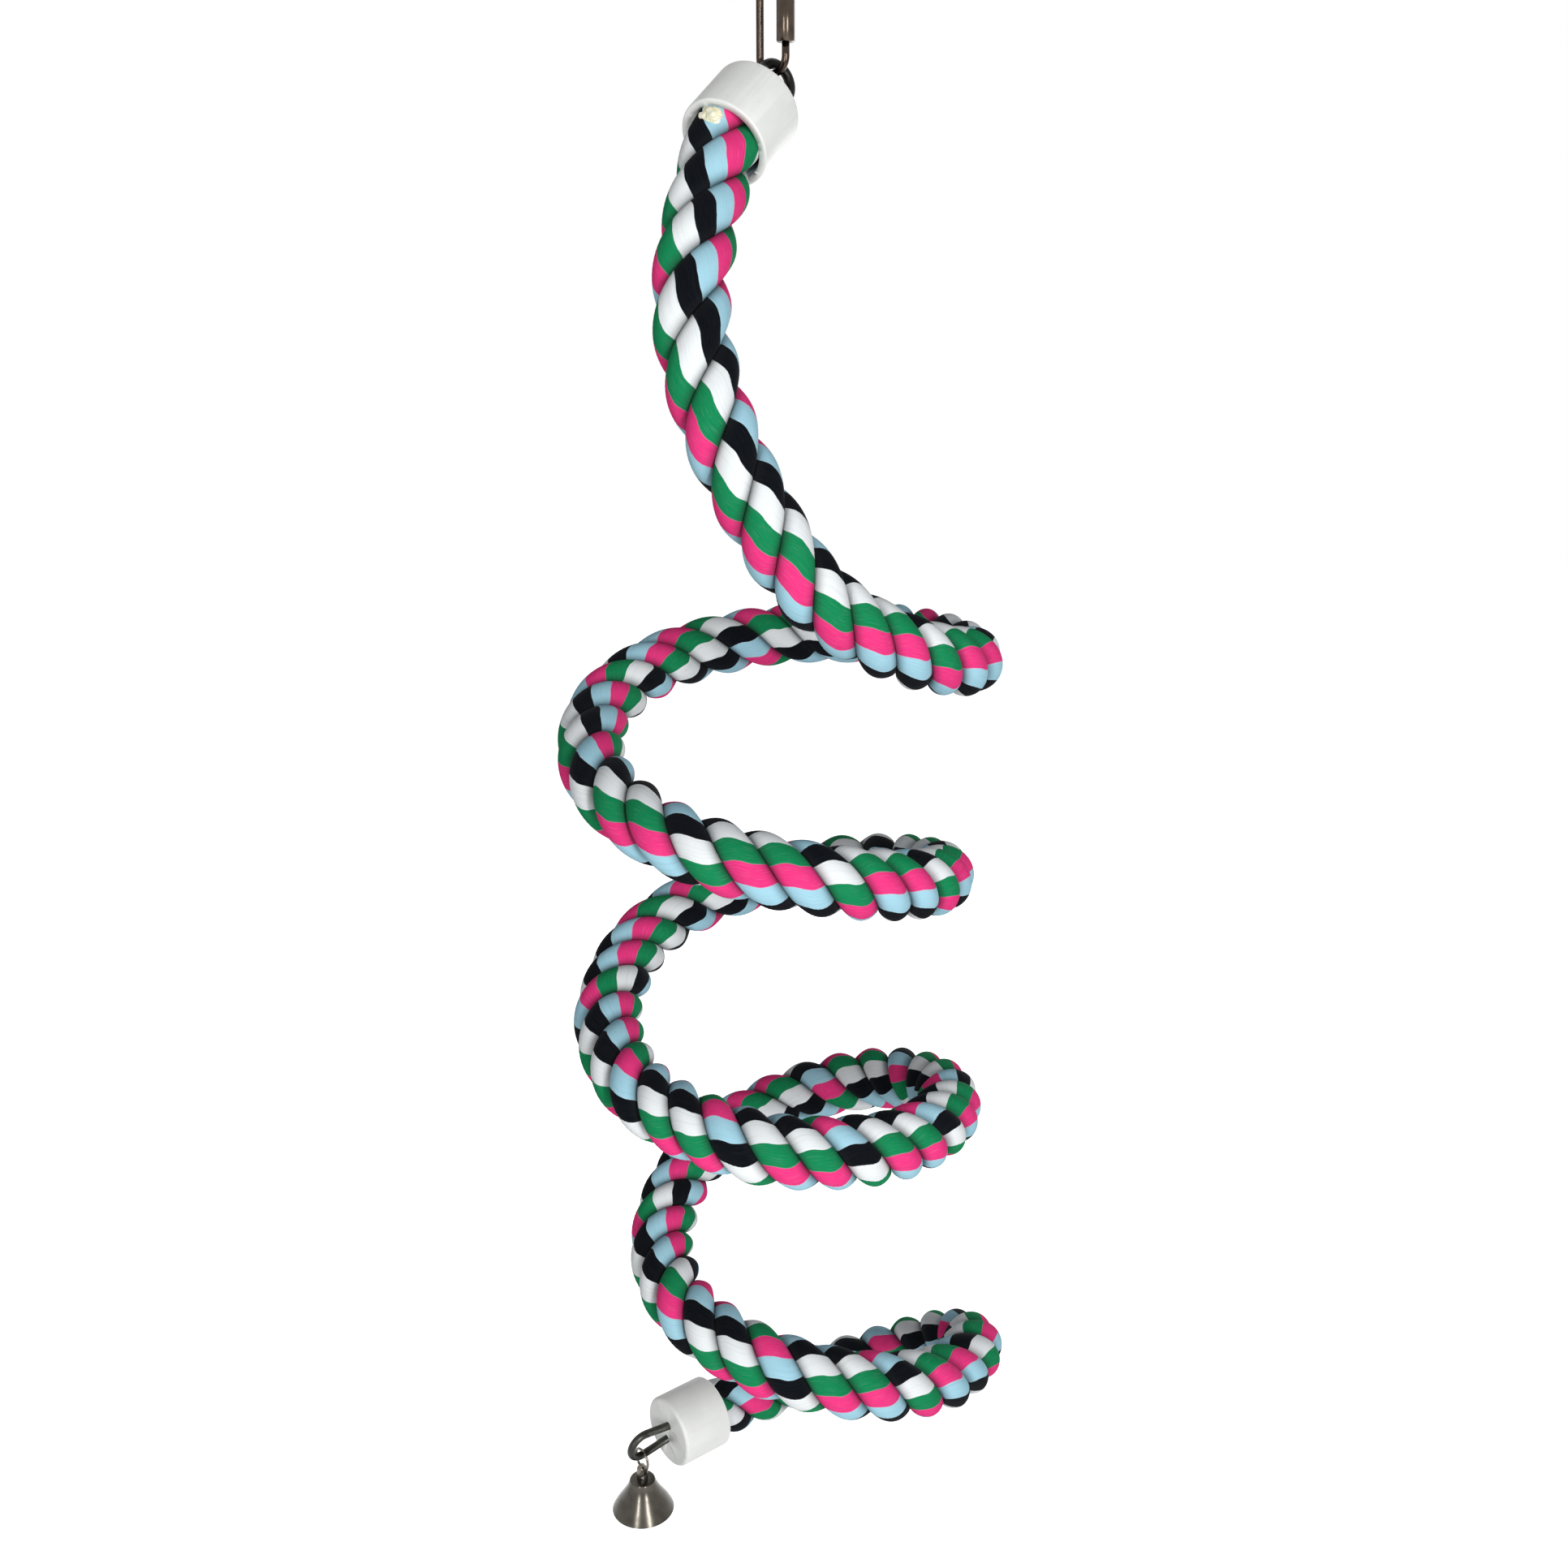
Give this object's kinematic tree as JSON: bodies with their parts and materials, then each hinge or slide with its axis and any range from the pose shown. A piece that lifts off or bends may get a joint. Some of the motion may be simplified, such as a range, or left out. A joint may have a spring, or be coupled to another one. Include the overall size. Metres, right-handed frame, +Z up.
{
  "type": "bird perch",
  "caption": "Spiral cotton rope perch on a bendable wire core, with white end caps, a quick link to hang it by and a bell below.",
  "frame": {"origin": "the inside of the quick link's upper bow, where the cage bar bears", "axes": "+Z up, -Y towards the front of the picture, +X to the right"},
  "size_m": [0.2193, 0.2449, 0.7689],
  "materials": {
    "nickel": "bright nickel plate",
    "dark_steel": "dull zinc plate",
    "white_pvc": "satin",
    "glue": "waxy",
    "galvanised_wire": "galvanised",
    "cotton": "cotton yarn dyed in five colours",
    "bronze_strip": "dull",
    "bell_nickel": "dark nickel plate"
  },
  "bodies": {
    "quick_link": {"quick_link_body": "nickel"},
    "sleeve_nut": {"quick_link_nut": "nickel"},
    "perch": {"top_eye": "dark_steel", "top_cap": "white_pvc", "top_glue": "glue", "core_wire": "galvanised_wire", "strand_a": "cotton", "strand_b": "cotton", "strand_c": "cotton", "bottom_glue": "glue", "bottom_cap": "white_pvc", "bottom_eye": "dark_steel"},
    "ring": {"bell_ring": "nickel"},
    "bell": {"bell_hanger": "bronze_strip", "bell_shell": "bell_nickel"},
    "clapper": {"clapper_wire": "nickel", "clapper_ball": "bell_nickel"}
  },
  "joints": [
    {"name": "nut_travel", "type": "slide", "parent": "quick_link", "child": "sleeve_nut", "axis": [0, 0, 1], "range_m": [0, 0.006]},
    {"name": "perch_swing", "type": "hinge", "parent": "quick_link", "child": "perch", "pos_m": [0, 0, -0.0416], "axis": [0.788, -0.6157, 0], "range_deg": [-45, 45]},
    {"name": "ring_swing", "type": "hinge", "parent": "perch", "child": "ring", "pos_m": [-0.07268, 0.0181, -0.73118], "axis": [-0.7857, -0.6186, 0], "range_deg": [-45, 45]},
    {"name": "bell_swing", "type": "hinge", "parent": "ring", "child": "bell", "pos_m": [-0.07268, 0.0181, -0.73948], "axis": [0.6186, -0.7857, 0], "range_deg": [-40, 30]},
    {"name": "clapper_swing", "type": "hinge", "parent": "bell", "child": "clapper", "pos_m": [-0.07268, 0.0181, -0.75023], "axis": [-0.7857, -0.6186, 0], "range_deg": [-35, 35]}
  ]
}
